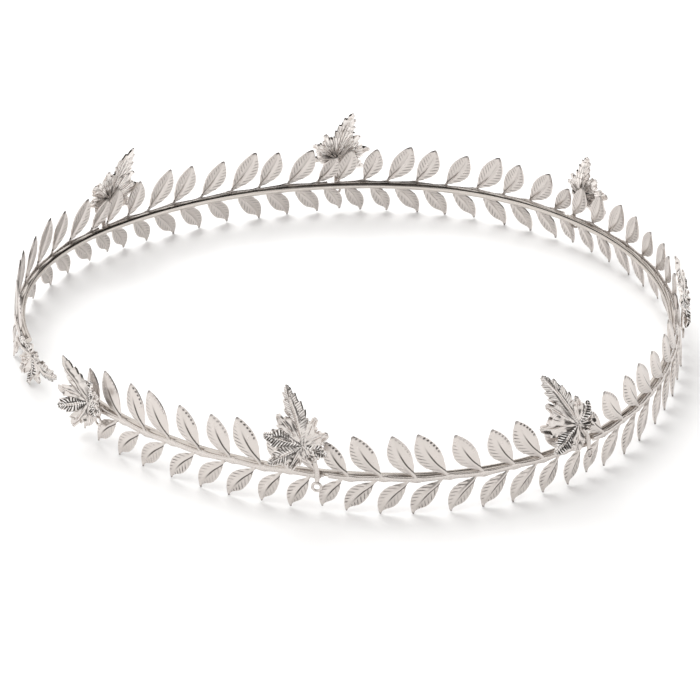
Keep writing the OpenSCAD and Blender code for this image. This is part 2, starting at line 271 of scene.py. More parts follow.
# Meshes
class Shape:
    """Points, faces, material numbers and leaf coordinates gathered for one piece"""

    def __init__(self):
        self.points, self.faces, self.slots, self.places, self.shares = [], [], [], [], []
        self.count = 0

    def add(self, points, faces, slot, place, share):
        """Add points and faces; slot is one material number, or a list with one for each face"""
        points = np.asarray(points, float).reshape(-1, 3)
        self.points.append(points)
        self.faces.extend([[v + self.count for v in face] for face in faces])
        self.slots.extend(slot if isinstance(slot, list) else [slot] * len(faces))
        self.places.append(np.asarray(place, float).reshape(-1, 3))
        self.shares.append(np.asarray(share, float).reshape(-1, 3))
        self.count += len(points)

    def tube(self, points, slot, place, share):
        """A skin over rows of points, with each row's end joined to its start"""
        rows, across = points.shape[:2]
        faces = []
        for r in range(rows - 1):
            for c in range(across):
                a, b = r * across + c, r * across + (c + 1) % across
                faces.append([a, b, b + across, a + across])
        self.add(points, faces, slot, place, share)

    def plate(self, middle, outward, thick, place, share):
        """A sheet of metal round a grid of middle points: an outside, an inside and a rim"""
        rows, across = middle.shape[:2]
        normal = np.cross(np.gradient(middle, axis=0), np.gradient(middle, axis=1))
        normal /= np.maximum(np.linalg.norm(normal, axis=-1, keepdims=True), 1e-12)
        flip = np.sum(normal * outward) < 0
        half = thick / 2 * (-normal if flip else normal)
        n = rows * across
        faces, numbers = [], []
        for r in range(rows - 1):
            for c in range(across - 1):
                a = r * across + c
                quad = [a, a + 1, a + across + 1, a + across]
                quad = quad if flip else quad[::-1]
                faces += [quad, [v + n for v in quad[::-1]]]
                numbers += [OUTSIDE, INSIDE]
        rim = list(range(across))
        rim += [r * across + across - 1 for r in range(1, rows)]
        rim += [(rows - 1) * across + c for c in range(across - 2, -1, -1)]
        rim += [r * across for r in range(rows - 2, 0, -1)]
        for a, b in zip(rim, rim[1:] + rim[:1]):
            quad = [a, b, b + n, a + n]
            faces.append(quad[::-1] if flip else quad)
            numbers.append(OUTSIDE)
        both = np.concatenate([(middle + half).reshape(-1, 3), (middle - half).reshape(-1, 3)])
        twice = [np.tile(values.reshape(-1, 3), (2, 1)) for values in (place, share)]
        self.add(both, faces, numbers, *twice)

    def piece(self, name, materials, nodes):
        """Make the finished object, in place of its solids"""
        mesh = bpy.data.meshes.new(name)
        points = np.concatenate(self.points)
        mesh.from_pydata(points.tolist(), [], self.faces)
        mesh.polygons.foreach_set("material_index", self.slots)
        mesh.polygons.foreach_set("use_smooth", [True] * len(self.faces))
        for title, values in (("place", self.places), ("share", self.shares)):
            layer = mesh.attributes.new(title, "FLOAT_VECTOR", "POINT")
            layer.data.foreach_set("vector", np.concatenate(values).astype(np.float32).ravel())
        mesh.update()
        mesh.set_sharp_from_angle(angle=np.radians(SHARP))
        for material in materials:
            mesh.materials.append(material)
        obj = bpy.data.objects.new(name, mesh)
        bpy.context.scene.collection.objects.link(obj)
        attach(obj, "root")
        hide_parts(*nodes)


def bar(shape, start, path, wide, deep, slot, sides, tone=0.5, boxy=1.0):
    """A bar of oval section swept along a path in band coordinates; boxy under 1 flattens its faces"""
    path = np.asarray(path, float)
    way = np.gradient(path, axis=0)
    way /= np.linalg.norm(way, axis=1)[:, None]
    side = np.stack([-way[:, 1], way[:, 0], np.zeros(len(path))], -1)
    side /= np.maximum(np.linalg.norm(side, axis=1)[:, None], 1e-9)
    out = np.cross(way, side)
    turn = np.linspace(0, 2 * np.pi, sides, endpoint=False)
    wide, deep = np.broadcast_to(wide, len(path)), np.broadcast_to(deep, len(path))
    flat, thick = (np.sign(f) * np.abs(f) ** boxy for f in (np.cos(turn), np.sin(turn)))
    ring = path[:, None] + (
        side[:, None] * (flat[None, :, None] * wide[:, None, None] / 2)
        + out[:, None] * (thick[None, :, None] * deep[:, None, None] / 2)
    )
    along = np.concatenate([[0], np.cumsum(np.linalg.norm(np.diff(path, axis=0), axis=1))])
    place = np.zeros(ring.shape)
    place[..., 0] = along[:, None]
    place[..., 1] = np.cos(turn)[None] * wide[:, None] / 2
    share = np.full(ring.shape, tone)
    points = in_space(start, ring)
    shape.tube(points, slot, place, share)
    for k, order in ((0, 1), (-1, -1)):
        shape.add(points[k], [list(range(sides))[::order]], slot, place[k], share[k])


# Laurel sprays
def leaf_parts(pair, upper, spread):
    """One leaf of a pair with its foot, way, length and the way across it, in band coordinates"""
    leaf = pair.upper if upper else pair.lower
    foot = np.array([(pair.at * spread + (0 if upper else LOWER_LAG)) * SPRAY_LEN, 0.0])
    size = UPPER_RISE if upper else -LOWER_DROP
    way = np.array([leaf.reach * abs(size), leaf.rise * size])
    length = np.hypot(*way)
    across = np.array([-way[1], way[0]]) / length * (1 if upper else -1)
    return leaf, foot, way, length, across


def leaf_out(leaf, up):
    """How far out a leaf's plane lies at heights over the stem's middle"""
    band_lean = np.where(up > 0, -up * np.tan(np.radians(UPPER_IN)), -up * np.tan(np.radians(LOWER_OUT)))
    return STEM_OUT + band_lean + np.abs(up) * np.tan(np.radians(leaf.lean))


def leaf_rib(pair, upper, spread, t):
    """Points of a leaf's midrib in the plane of the band"""
    _, foot, way, length, across = leaf_parts(pair, upper, spread)
    late, much = (1.25, 1.05) if upper else (1.7, 1.5)
    bow = LEAF_BOW * length * 4 * t**late * (1 - t) * much
    return foot + way * t[..., None] - across * bow[..., None]


def leaf_width(t, v, half, upper):
    """Half width and place on the blade at shares t of a leaf; v > 0 is the hooked side of lower tips"""
    blade = np.clip((t - 0.09) / 0.91, 0, 1)
    distal = smooth(blade, 0.5, 0.92)
    hooked = np.where(v > 0, 0.8 + 1.1 * distal, 0.8 - 0.1 * distal)
    width = np.sin(np.pi * blade**1.12) ** (0.88 - 0.12 * distal if upper else hooked)
    stalk_half, tip_half = 0.3, 0.03
    return np.maximum(width * half, np.where(t < 0.5, stalk_half, tip_half)), blade


def leaf_fold(look, t):
    """Height of a leaf's middle over its edges, which grows from the stalk on"""
    return look.fold * smooth(t, 0.02, 0.34)


def laurel_leaf(shape, start, pair, upper, spread, tone, look):
    """One stamped leaf, folded along its midrib, and the stalk that runs from the stem into it"""
    leaf, _, _, length, across = leaf_parts(pair, upper, spread)
    half = (UPPER_W if upper else LOWER_W) * leaf.wide / 2
    t, v = np.meshgrid(
        np.linspace(0.04, 1, look.leaf_rows), np.linspace(-1, 1, look.leaf_columns), indexing="ij"
    )
    width, blade = leaf_width(t, v, half, upper)
    y = v * width
    plan = leaf_rib(pair, upper, spread, t) + across * y[..., None]
    x = t * length
    fold = leaf_fold(look, t) * (1 - 0.35 * smooth(t, 0.6, 1))
    ridge = look.midrib * rib_bump(y, 0.34) * (1 - smooth(t, 0.55, 0.98))
    slope = 1.05 if upper else 0.9
    phase = (x - np.abs(y) * slope) / look.vein_pitch
    blend = smooth(np.abs(v), 0.15, 0.5) * smooth(blade, 0.04, 0.2) * (1 - smooth(t, 0.8, 1))
    veins = look.vein_depth * np.cos(2 * np.pi * phase) * blend
    lift = fold * (1 - np.abs(v) ** 1.35) + ridge + veins
    out = leaf_out(leaf, plan[..., 1]) + lift
    points = in_space(start, np.concatenate([plan, out[..., None]], -1))
    beyond = in_space(start, np.concatenate([plan, out[..., None] + 1], -1))
    place = np.stack([x, y, t], -1)
    share = np.stack([v, np.full_like(v, tone), np.full_like(v, 1.0 if upper else 0.0)], -1)
    shape.plate(points, beyond - points, LEAF_T * MM, place, share)
    petiole(shape, start, pair, upper, spread, tone, look)


def petiole(shape, start, pair, upper, spread, tone, look):
    """The stem's branch that becomes a leaf's stalk and the foot of its midrib"""
    leaf = pair.upper if upper else pair.lower
    q = np.linspace(0, 1, 12)
    t = 0.34 * np.clip(q * 1.6 - 0.6, 0, 1)
    run_back = 1.5
    path = leaf_rib(pair, upper, spread, t) - np.array([run_back, 0.0]) * (1 - smooth(q, 0, 0.6))[:, None]
    rise = leaf_fold(look, t) + look.midrib * 0.6 * smooth(q, 0.3, 0.7)
    out = leaf_out(leaf, path[:, 1]) + rise
    wide, deep = 0.85 - 0.4 * q, 0.55 - 0.15 * q
    bar(shape, start, np.column_stack([path, out]), wide, deep, STEM, PETIOLE_SIDES, tone)


def laurel_spray(i, look, materials):
    """One spray: its stem, which zigzags a little between swollen nodes, and its nine leaf pairs"""
    shape = Shape()
    start = foot_s(i)
    rng = np.random.default_rng(SEED + i)
    spread = SPREAD[i]
    foot, tip = -0.3 * STEM_W, SPRAY_LEN - 2 * STEM_W - SEAT_GAP
    feet = np.array([foot] + [p.at * spread * SPRAY_LEN for p in PAIRS] + [tip])
    along = np.arange(foot, tip, STEM_STEP)
    near = np.min(np.abs(along[:, None] - feet[None, 1:-1]), axis=1)
    index = np.interp(along, feet, np.arange(len(feet)))
    zigzag = 0.16 * np.cos(np.pi * index)
    wide = STEM_W * 1.15 + (NODE_W - STEM_W) * rib_bump(near, 1.1)
    path = np.column_stack([along, zigzag, np.full_like(along, STEM_OUT)])
    bar(shape, start, path, wide, STEM_T * 0.95, STEM, STEM_SIDES, boxy=STEM_BOXY)
    for pair in PAIRS:
        for upper in (True, False):
            laurel_leaf(shape, start, pair, upper, spread, rng.uniform(0, 1), look)
    node = f"laurel_spray_{i + 1}"
    shape.piece(f"laurel_leaves_{i + 1}", materials, [node])


# Vine leaves
def vine_heart(vine):
    """Where the lobes of a vine leaf meet, along and up from the stalk's foot"""
    turn = np.radians(vine.stalk.turn)
    return vine.stalk.length * STALK_LEN * np.array([np.cos(turn), np.sin(turn)])


def heart_out(vine):
    """How far out the heart of a vine leaf stands"""
    return STALK_OUT + np.hypot(*vine_heart(vine)) * np.tan(np.radians(vine.stalk.out))


def fanned(vine, angle):
    """An angle from the leaf's axis after both sides have fanned out"""
    return angle + np.sign(angle) * vine.fan


def side_of(vine, k):
    """Size and cup of lobe k: those of the fore, the middle or the aft lobes"""
    return vine.middle if k == MIDDLE_LOBE else vine.fore if k < MIDDLE_LOBE else vine.aft


def notch(vine, k):
    """The notch before lobe k, about the leaf's heart"""
    if k == 0:
        angle = LOBES[0].angle - HEEL
    elif k == len(LOBES):
        angle = LOBES[-1].angle + HEEL
    else:
        angle = (LOBES[k].angle + LOBES[k - 1].angle) / 2
    r = NOTCHES[k] * (vine.aft if k > MIDDLE_LOBE else vine.fore).size * LOBE_LEN
    turn = np.radians(fanned(vine, angle))
    return r * np.array([np.cos(turn), np.sin(turn)])


def lobe_edge(u, u0, start, tip, half, middle, look):
    """Toothed edge of half a lobe: straight to its notch at u0, then one curve to its tip"""
    q = np.clip((u - u0) / (1 - u0), 0, 1)
    reach = max(start[0], 0)
    shoulder = np.array([reach + (tip - reach) * 0.26, max(start[1] * 0.95, half * 1.25)])
    taper = np.array([reach + (tip - reach) * 0.64, half * (0.72 if middle else 0.5)])
    weights = ((1 - q) ** 3, 3 * (1 - q) ** 2 * q, 3 * (1 - q) * q**2, q**3)
    corners = (start, shoulder, taper, np.array([tip, 0.0]))
    edge = sum(w[..., None] * corner for w, corner in zip(weights, corners))
    teeth = (5 if middle else 2) * q**0.9
    bite = look.tooth * np.mod(teeth, 1) ** 1.2 * smooth(q, 0.0, 0.1) * (1 - smooth(q, 0.86, 1.0))
    edge[..., 0] += bite * 0.7
    edge[..., 1] += bite * (0.9 if middle else 0.7)
    return np.where((u < u0)[..., None], (u / u0)[..., None] * start, edge)


def lobe_half(vine, k, side, look, seed):
    """Grid of one half of a lobe, from its rib to its edge: flat points, height and leaf coordinates"""
    lobe, share_of = LOBES[k], side_of(vine, k)
    middle = k == MIDDLE_LOBE
    size = share_of.size * LOBE_LEN
    tip, half = lobe.length * size, lobe.half * size
    turn = np.radians(fanned(vine, lobe.angle))
    axis, across = np.array([np.cos(turn), np.sin(turn)]), side * np.array([-np.sin(turn), np.cos(turn)])
    n = notch(vine, k + 1 if side > 0 else k)
    start = np.array([n @ axis, n @ across])
    rows = look.lobe_rows * (2 if middle else 1)
    columns = look.lobe_columns + (3 if middle else 0)
    u, v = np.meshgrid(np.linspace(0, 1, rows), np.linspace(0, 1, columns), indexing="ij")
    u0 = np.clip(start[0] / tip, 0.16, 0.62) if start[0] > 0 else 0.2
    edge = lobe_edge(u, u0, start, tip, half, middle, look)
    spine = np.stack([u * tip, np.zeros_like(u)], -1)
    flat = spine * (1 - v[..., None]) + edge * v[..., None]
    free = 1 - v**2 * (1 - smooth(u, u0, u0 + 0.18))
    x, y = flat[..., 0], flat[..., 1]
    share = np.clip(x / tip, 0, 1.1)
    lift = lobe.cup * share_of.cup * VINE_CUP * share**1.67 * free
    rib = rib_bump(y, 0.3) * (1 - 0.6 * smooth(share, 0.5, 1))
    lift += look.vine_rib * rib * (1.0 if middle else smooth(share, 0.1, 0.45))
    phase = (x - y * 0.85) / look.vine_vein_pitch
    vein_blend = smooth(v, 0.08, 0.35) * (1 - smooth(v, 0.86, 1.0)) * free
    lift += look.vine_vein * np.cos(2 * np.pi * phase) * vein_blend
    body = smooth(share, 0.08, 0.4) * (1 - smooth(u, 0.84, 1))
    if middle:
        lift += look.vine_fold * (1 - v**1.3) * body
    else:
        lift += look.vine_curl * (v**1.8 * free - 0.35 * (1 - v**2)) * body
    waves = np.sin(0.75 * x + seed) * np.sin(0.7 * y * side + 2.1 * seed)
    lift += look.crumple * waves * smooth(share, 0.1, 0.5) * free
    spread_out = axis * x[..., None] + across * y[..., None]
    bend = np.radians(MIDDLE_BEND) * share**0.8 * free if middle else np.zeros_like(x)
    return spread_out, bend, lift, np.stack([x, y * side, u], -1), v * side


def vine_lobes(shape, vine, i, look):
    """The nine lobes of vine leaf i, in two halves each"""
    start = vine_s(i)
    heart, out = vine_heart(vine), heart_out(vine)
    for k in range(len(LOBES)):
        for side in (1, -1):
            flat, bend, lift, place, v = lobe_half(vine, k, side, look, 1.7 * k + 0.9 * i)
            r, a = np.hypot(flat[..., 0], flat[..., 1]), np.arctan2(flat[..., 1], flat[..., 0])
            turn = np.radians(vine.turn + MIDDLE_BEND) + a - bend
            along, up = heart[0] + r * np.cos(turn), heart[1] + r * np.sin(turn)
            tip = r * np.cos(a) * np.tan(np.radians(vine.tip_out))
            turned = (along - heart[0]) * np.sin(np.radians(vine.facing))
            band = np.stack([along, up, out + tip + turned + lift], -1)
            points = in_space(start, band)
            beyond = in_space(start, band + np.array([0, 0, 1.0]))
            tone = (k * 0.37 + i * 0.21) % 1
            share = np.stack([v, np.full_like(v, tone), np.full_like(v, k / (len(LOBES) - 1))], -1)
            shape.plate(points, beyond - points, VINE_BLADE_T * MM, place, share)


def vine_stalk(shape, vine, i):
    """Stalk from the eyelet over the stem to the heart of the leaf, and the eyelet's ring"""
    start, tone = vine_s(i), 0.4
    heart, out = vine_heart(vine), heart_out(vine)
    eyelet = np.array([0, -(NODE_W + EYELET_D) / 2 - SEAT_GAP, EYELET_OUT])
    foot = np.array([0, 0, STALK_OUT])
    t = np.linspace(0, 1, 16)
    upper = np.column_stack([heart[0] * t * t, heart[1] * t, STALK_OUT + (out - STALK_OUT) * t**3 + 0.1])
    below = foot + np.array([0.62, 0.42, 0.2])[:, None] * eyelet
    wide = np.concatenate([[0.9, 1.1, 1.3], np.linspace(1.35, 1.0, len(t))])
    path = np.concatenate([below, upper])
    bar(shape, start, path, wide, VINE_T * 1.3, STEM, STALK_SIDES, tone)
    turn = np.linspace(0, 2 * np.pi, 40)
    middle_r = (EYELET_D + EYELET_HOLE_D) / 4
    circle = foot + eyelet + middle_r * np.column_stack([np.cos(turn), np.sin(turn), np.zeros_like(turn)])
    bar(shape, start, circle, (EYELET_D - EYELET_HOLE_D) / 2, VINE_T, STEM, STALK_SIDES, tone)


def vine_leaf(i, look, materials):
    """One lobed vine leaf with its stalk and eyelet"""
    shape = Shape()
    vine_lobes(shape, VINES[i], i, look)
    vine_stalk(shape, VINES[i], i)
    node = f"vine_leaf_{i + 1}"
    shape.piece(f"vine_foliage_{i + 1}", materials, [node])


# Shader maths
class Sock:
    """One output of a material's nodes, on which arithmetic adds Math nodes"""

    def __init__(self, tree, out=None):
        self.tree, self.out = tree, out

    def node(self, kind, settings=None, sockets=None, out=0):
        """A new node of a kind, with its settings and its sockets' values or links, as one output"""
        made = self.tree.nodes.new("ShaderNode" + kind)
        for name, value in (settings or {}).items():
            if name == "stops":
                while len(made.color_ramp.elements) < len(value):
                    made.color_ramp.elements.new(0.5)
                for element, (position, colour) in zip(made.color_ramp.elements, value):
                    element.position, element.color = position, colour
            else:
                setattr(made, name, value)
        for name, value in (sockets or {}).items():
            socket = made.inputs[name]
            if isinstance(value, Sock):
                self.tree.links.new(value.out, socket)
            else:
                socket.default_value = value
        return Sock(self.tree, made.outputs[out] if made.outputs else None)

    def math(self, operation, a, b=0.0, c=0.0):
        return self.node("Math", {"operation": operation}, {0: a, 1: b, 2: c})

    def __add__(self, other):
        return self.math("ADD", self, other)

    def __sub__(self, other):
        return self.math("SUBTRACT", self, other)

    def __mul__(self, other):
        return self.math("MULTIPLY", self, other)

    def __truediv__(self, other):
        return self.math("DIVIDE", self, other)

    def __rsub__(self, other):
        return self.math("SUBTRACT", other, self)

    def __abs__(self):
        return self.math("ABSOLUTE", self)

    def __neg__(self):
        return self.math("MULTIPLY", self, -1.0)

    __radd__, __rmul__ = __add__, __mul__

    def rise(self, low, high):
        """0 below low, 1 over high, smooth between"""
        sockets = {"Value": self, "From Min": low, "From Max": high}
        return self.node("MapRange", {"interpolation_type": "SMOOTHSTEP"}, sockets)

    def fall(self, low, high):
        """1 below low, 0 over high, smooth between"""
        return 1.0 - self.rise(low, high)

    def fract(self):
        return self.math("FRACT", self)

    def saw(self):
        """1 at whole numbers, 0 half way between them, straight between"""
        return abs(self.fract() - 0.5) * 2.0

    def most(self, other):
        return self.math("MAXIMUM", self, other)

    def mix(self, first, second):
        """Colour between two colours, with this as the share of the second"""
        return self.node("Mix", {"data_type": "RGBA"}, {0: self, 6: first, 7: second}, 2)

    def scaled(self, factor):
        """A vector multiplied by a vector"""
        return self.node("VectorMath", {"operation": "MULTIPLY"}, {0: self, 1: factor})


def attribute(sock, name):
    """A vector that the mesh holds at its points"""
    return sock.node("Attribute", {"attribute_name": name}, None, "Vector")


def parts(vector):
    """The three numbers of a vector"""
    return [vector.node("SeparateXYZ", None, {0: vector}, k) for k in range(3)]


def cleared(owner):
    """A socket to build on in the emptied nodes of a material or a world"""
    owner.use_nodes = True
    owner.node_tree.nodes.clear()
    return Sock(owner.node_tree)


def grain(sock, scale, detail=3.0):
    """Fine noise in the object's own coordinates, with scale lumps to the metre"""
    place = sock.node("TexCoord", None, None, "Object")
    return sock.node("TexNoise", None, {"Vector": place, "Scale": scale, "Detail": detail})


def rgba(colour, factor=1.0):
    """A colour of three numbers, made brighter or dimmer, as four"""
    return (*[c * factor for c in colour[:3]], 1.0)


# Materials
def metal(name, build):
    """A metal whose colour, roughness, height and depth in millimetres come from build(sock)"""
    material = bpy.data.materials.new(name)
    sock = cleared(material)
    colour, rough, height, depth = build(sock)
    bump = sock.node("Bump", None, {"Height": height, "Distance": depth * MM, "Strength": 1.0})
    sockets = {"Base Color": colour, "Roughness": rough, "Normal": bump, "Metallic": 1.0}
    shader = sock.node("BsdfPrincipled", None, sockets)
    sock.node("OutputMaterial", None, {"Surface": shader})
    return material


def matt(name, scale, pale, dark, gloss):
    """A dull sheet of the studio, mottled from a pale to a darker colour"""
    material = bpy.data.materials.new(name)
    sock = cleared(material)
    mottled = grain(sock, scale).mix(pale, dark)
    sockets = {"Base Color": mottled, "Roughness": 0.9, "Specular IOR Level": gloss}
    shader = sock.node("BsdfPrincipled", None, sockets)
    sock.node("OutputMaterial", None, {"Surface": shader})
    return material


def leaf_metal(finish, look, outside):
    """Stamped leaf: ticks of painted shade and tarnish between the veins, a crease of painted shade, and on
    its outside rim pits of painted shade and a darker tip
    """

    def build(sock):
        x, y, t = parts(attribute(sock, "place"))
        v, tone, upper = parts(attribute(sock, "share"))
        side = abs(y)
        groove = ((x - side) / look.vein_pitch).saw().fall(0.1, 0.3)
        length = t.rise(0.12, 0.24) * t.fall(0.84, 0.94)
        front = (-v).rise(0.3, 0.55) * (-v).fall(0.84, 0.95)
        back = v.rise(0.25, 0.5) * v.fall(0.8, 0.95)
        patch = grain(sock, 240.0, 2.0).rise(0.35, 0.6)
        if outside:
            # The ticks are painted shade, with some tarnish, in the grooves between the veins
            ticks = groove * length * front.most(back * (1.0 - upper))
            # Painted shade along a crease beside the midrib
            beside = 0.5 - t.rise(0.05, 0.42) * 0.24
            crease = abs(y - beside).fall(0.09, 0.22) * t.fall(0.5, 0.8)
            # Painted shade in the pits along an upper leaf's rim, on some leaves only, and a darker tip
            from_rim = side / abs(v).most(0.05) - side - 0.42
            step = abs((x / finish.pit_pitch).fract() - 0.5) * finish.pit_pitch
            spot = (step * step + from_rim * from_rim).fall(0.03, 0.12)
            pit = spot * v.rise(0.3, 0.5) * t.rise(0.5, 0.56) * t.fall(0.93, 0.97) * upper
            pit_shade_and_dark_tip = pit * tone.rise(0.3, 0.7) * 0.85 + t.rise(0.955, 0.99) * 0.5
            deep = tone.rise(0.4, 0.8) + 0.62
            # Painted shade and tarnish of the ticks, darker on some leaves and in patches
            tick_shade_and_tarnish = ticks * deep * finish.groove * (patch * 0.7 + 0.3)
            dark = tick_shade_and_tarnish.most(crease * finish.crease).most(pit_shade_and_dark_tip)
            sunk = ticks * 0.8 + pit * 1.6
        else:
            # The inside has painted shade in its grooves and along its crease
            sunk = groove * length * front.most(back)
            crease = side.fall(0.05, 0.22) * t.fall(0.75, 0.95)
            dark = (sunk * (patch * 0.6 + 0.4) * finish.groove * 0.75).most(crease * 0.2)
        cloud = grain(sock, 900.0)
        # The inside is painted a little darker than the outside, as painted shade
        shade = 1.0 if outside else 0.97
        base = (cloud * 0.12 + tone * 0.05).mix(rgba(finish.leaf, shade), rgba(finish.leaf, 0.8 * shade))
        # Painted shade, with the tarnish and dark lines, laid over the base in one dark colour
        colour = dark.mix(base, rgba(finish.shade_tarnish_colour))
        rough = cloud * 0.16 + finish.leaf_rough - 0.08
        height = 1.0 - sunk * 0.8 + cloud * 0.06
        return colour, rough, height, 0.12

    return metal("laurel_outside" if outside else "laurel_inside", build)


def stem_metal(finish):
    """Smooth cast metal of stems, stalks and eyelets"""

    def build(sock):
        cloud = grain(sock, 700.0)
        base = (cloud * 0.2).mix(rgba(finish.leaf), rgba(finish.leaf, 0.75))
        return base, cloud * 0.14 + finish.leaf_rough - 0.1, cloud, 0.02

    return metal("laurel_stem", build)


def rod_metal(finish):
    """Polished rod with faint lines along it from drawing"""

    def build(sock):
        stretched = attribute(sock, "place").scaled((0.15, 9.0, 9.0))
        drawn = sock.node("TexNoise", None, {"Vector": stretched, "Scale": 1.0, "Detail": 3.0})
        wear = grain(sock, 160.0)
        base = (drawn * 0.25).mix(rgba(finish.rod), rgba(finish.rod, 0.72))
        return base, drawn * 0.1 + wear * 0.08 + finish.rod_rough - 0.08, drawn, 0.01

    return metal("rod_polished", build)


def vine_outside_marks(hatch, v, t, tone, lobe, beside, patch):
    """Lines, darkness with painted shade in its pockets, dark far rim and painted glints of a vine leaf's
    outside, which is ruled in places
    """
    # Painted shade in the pockets near the notches between the lobes
    pocket = t.fall(0.3, 0.62) * abs(v).rise(0.4, 0.8) * (1.0 - lobe.rise(0.35, 0.65) * 0.8)
    middle = abs(lobe - 0.5).fall(0.02, 0.08)
    ruled = tone.rise(0.5, 0.62) * (1.0 - middle * 0.6) * patch.rise(0.3, 0.46)
    lines = hatch.fall(0.15, 0.7) * abs(v).rise(0.1, 0.3) * abs(v).fall(0.88, 1.0) * ruled
    far_rim = v.rise(0.84, 0.9) * t.rise(0.42, 0.5) * middle * patch.rise(0.36, 0.46)
    dark = lines.most(pocket * patch.rise(0.36, 0.5) * 0.95).most(beside * 0.9)
    # The last of these is a painted glint between the ruled lines
    return lines, dark, far_rim * 0.95, ruled * hatch.rise(0.6, 0.9)


def vine_inside_marks(v, t, lobe, beside, patch):
    """The same of a vine leaf's inside, which has streaks from its heart and no dark far rim"""
    lines = (v * 3.0).saw().fall(0.1, 0.45) * t.fall(0.5, 0.9)
    # Painted shade in the inside's pockets near the notches between the lobes
    pocket = t.fall(0.35, 0.7) * abs(v).rise(0.25, 0.6) * lobe.rise(0.55, 0.7)
    dark = (lines * (patch.rise(0.3, 0.6) * 0.45 + 0.06)).most(beside * 0.4)
    # The last of these is a painted glint that grows towards the lobe tips
    return lines, dark.most(pocket * patch.rise(0.32, 0.46) * 0.85), 0.0, t * 0.2


def vine_metal(finish, outside):
    """Brighter metal of the vine leaves, with fine lines, painted shade in the pockets, painted glints and
    light rims
    """

    def build(sock):
        x, y, t = parts(attribute(sock, "place"))
        v, tone, lobe = parts(attribute(sock, "share"))
        side = abs(y)
        cloud = grain(sock, 1200.0)
        patch = grain(sock, 260.0, 2.0)
        rim = 1.0 - abs(v).rise(0.86, 0.97) * t.rise(0.4, 0.5)
        beside = abs(side - 0.5).fall(0.08, 0.34) * t.fall(0.7, 0.9) * patch.rise(0.42, 0.6)
        if outside:
            hatch = ((x - side * 0.5) / finish.hatch_pitch).saw()
            marks = vine_outside_marks(hatch, v, t, tone, lobe, beside, patch)
        else:
            marks = vine_inside_marks(v, t, lobe, beside, patch)
        lines, dark, far_rim, painted_glint = marks
        dark = (dark * rim).most(far_rim)
        # The inside is painted brighter than the outside, as painted light
        shade = 1.0 if outside else 1.2
        base = (cloud * 0.15 + tone * 0.08).mix(rgba(finish.vine, shade), rgba(finish.vine, 0.7 * shade))
        # Painted glints, then painted shade, laid over the base colour
        colour = dark.mix(painted_glint.mix(base, GLINT), rgba(finish.shade_tarnish_colour))
        rough = cloud * 0.2 + finish.vine_rough - 0.1
        height = 1.0 - lines * 0.6 + cloud * 0.2
        return colour, rough, height, 0.16

    return metal("vine_outside" if outside else "vine_inside", build)


# Settings
class CrownFinish(bpy.types.PropertyGroup):
    """Colours, roughness, markings and painted shade of the metals"""

    leaf: FloatVectorProperty(
        name="Leaf metal", description="Colour of the stamped leaves",
        default=(0.672, 0.626, 0.594), subtype="COLOR", size=3,
    )
    vine: FloatVectorProperty(
        name="Vine metal", description="Colour of the vine leaves",
        default=(0.712, 0.67, 0.64), subtype="COLOR", size=3,
    )
    rod: FloatVectorProperty(
        name="Rod metal", description="Colour of the polished rod",
        default=(0.65, 0.603, 0.56), subtype="COLOR", size=3,
    )
    # Colour of the painted shade in grooves, creases, pits and pockets, and of the tarnish and dark lines
    shade_tarnish_colour: FloatVectorProperty(
        name="Hollows", description="Colour of the darkened grooves",
        default=(0.045, 0.038, 0.033), subtype="COLOR", size=3,
    )
    leaf_rough: FloatProperty(
        name="Leaf roughness", description="Roughness of the stamped leaves", default=0.30, min=0.1, max=0.8
    )
    vine_rough: FloatProperty(
        name="Vine roughness", description="Roughness of the vine leaves", default=0.22, min=0.1, max=0.8
    )
    rod_rough: FloatProperty(
        name="Rod roughness", description="Roughness of the polished rod", default=0.16, min=0.05, max=0.6
    )
    # The ticks between the veins are painted shade, with some tarnish
    groove: FloatProperty(
        name="Groove darkness", description="How dark the ticks between the veins are",
        default=0.64, min=0, max=1,
    )
    # The line beside a midrib is painted shade
    crease: FloatProperty(
        name="Crease darkness", description="How dark the line beside a midrib is",
        default=0.9, min=0, max=1,
    )
    pit_pitch: FloatProperty(
        name="Pit pitch", description="Distance between the pits on an upper leaf's rim, in millimetres",
        default=1.05, min=0.5, max=3,
    )
    hatch_pitch: FloatProperty(
        name="Hatch pitch", description="Distance between fine lines on the vine leaves, in millimetres",
        default=0.66, min=0.3, max=2,
    )


